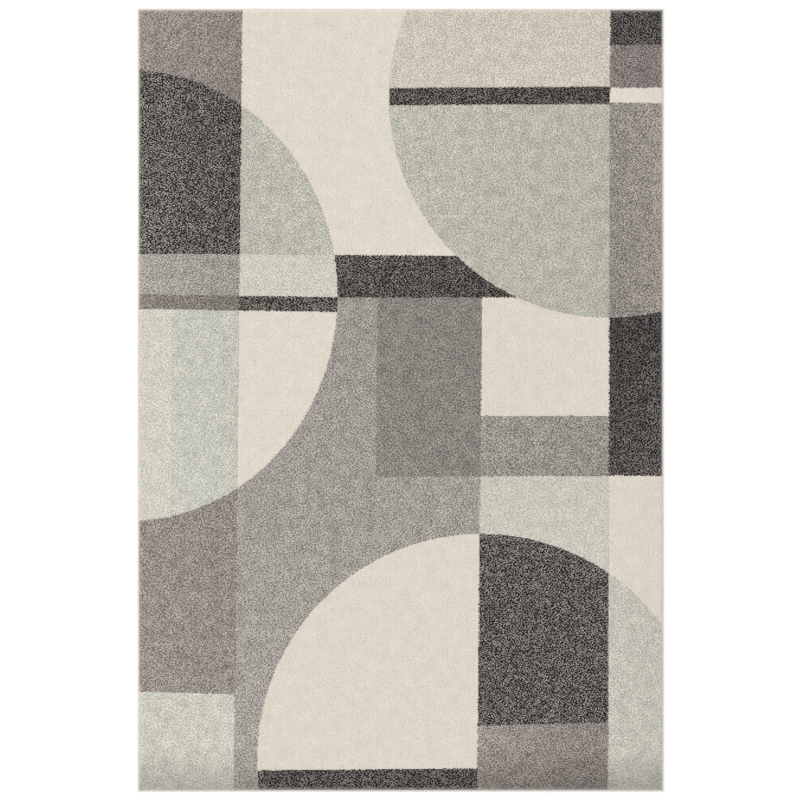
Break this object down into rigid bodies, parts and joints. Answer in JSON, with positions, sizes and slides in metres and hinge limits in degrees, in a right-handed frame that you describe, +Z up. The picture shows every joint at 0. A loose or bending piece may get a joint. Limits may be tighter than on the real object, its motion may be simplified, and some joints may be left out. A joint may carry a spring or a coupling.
{
  "type": "area rug",
  "caption": "Large rectangular cut-pile rug with a woven geometric colour-block pattern and wrapped edges, laid flat.",
  "frame": {"origin": "middle of the underside, on the floor plane", "axes": "+Z up out of the pile, +Y along the rug's length towards its top end, +X across its width to the right"},
  "size_m": [2, 2.975, 0.012],
  "materials": {
    "cream_pile": "matt cut pile, plain cream yarn",
    "ivory_pile": "matt cut pile, cream yarn lightly flecked with sage",
    "greige_pile": "matt cut pile, cream and taupe yarns mixed",
    "pale_sage_pile": "matt cut pile, pale grey-green yarn with light flecks",
    "sage_pile": "matt cut pile, grey-green yarn with light flecks",
    "light_grey_pile": "matt cut pile, light warm grey heather",
    "taupe_pile": "matt cut pile, taupe heather",
    "mid_grey_pile": "matt cut pile, mid grey heather",
    "dark_taupe_pile": "matt cut pile, dark taupe heather",
    "charcoal_pile": "matt cut pile, near-black and grey yarns mixed",
    "edge_yarn": "matt twisted cream yarn, wrapped close",
    "ground_cloth": "matt undyed woven cloth",
    "back_coat": "matt latex-bound woven back"
  },
  "bodies": {
    "root": {"back_coat": "back_coat", "ground_weave": "ground_cloth", "left_side_serging": "edge_yarn", "right_side_serging": "edge_yarn", "top_end_serging": "edge_yarn", "bottom_end_serging": "edge_yarn", "pile_charcoal_base_bar": "charcoal_pile", "pile_charcoal_block": "charcoal_pile", "pile_charcoal_bottom_disc": "charcoal_pile", "pile_charcoal_left_disc": "charcoal_pile", "pile_charcoal_right": "charcoal_pile", "pile_charcoal_thin_bar": "charcoal_pile", "pile_charcoal_top_right": "charcoal_pile", "pile_charcoal_wide_bar": "charcoal_pile", "pile_cream_block": "cream_pile", "pile_cream_bottom_disc": "cream_pile", "pile_cream_left_disc": "cream_pile", "pile_cream_right": "cream_pile", "pile_cream_stripe": "cream_pile", "pile_cream_top": "cream_pile", "pile_dark_taupe_left_bar": "dark_taupe_pile", "pile_dark_taupe_top_right": "dark_taupe_pile", "pile_greige_right_disc": "greige_pile", "pile_grey_step": "taupe_pile", "pile_ivory_left_disc": "ivory_pile", "pile_ivory_left_panel": "ivory_pile", "pile_ivory_right_band": "ivory_pile", "pile_light_grey_ground": "light_grey_pile", "pile_light_grey_left_band": "light_grey_pile", "pile_mid_grey_tall_block": "mid_grey_pile", "pile_pale_sage_bottom_left": "pale_sage_pile", "pile_pale_sage_bottom_right": "pale_sage_pile", "pile_pale_sage_left_panel": "pale_sage_pile", "pile_sage_left_disc": "sage_pile", "pile_sage_right_disc": "sage_pile", "pile_taupe_bottom_right": "taupe_pile", "pile_taupe_lower_left": "taupe_pile", "pile_taupe_right_disc": "taupe_pile", "pile_taupe_top_left": "taupe_pile"}
  },
  "joints": []
}
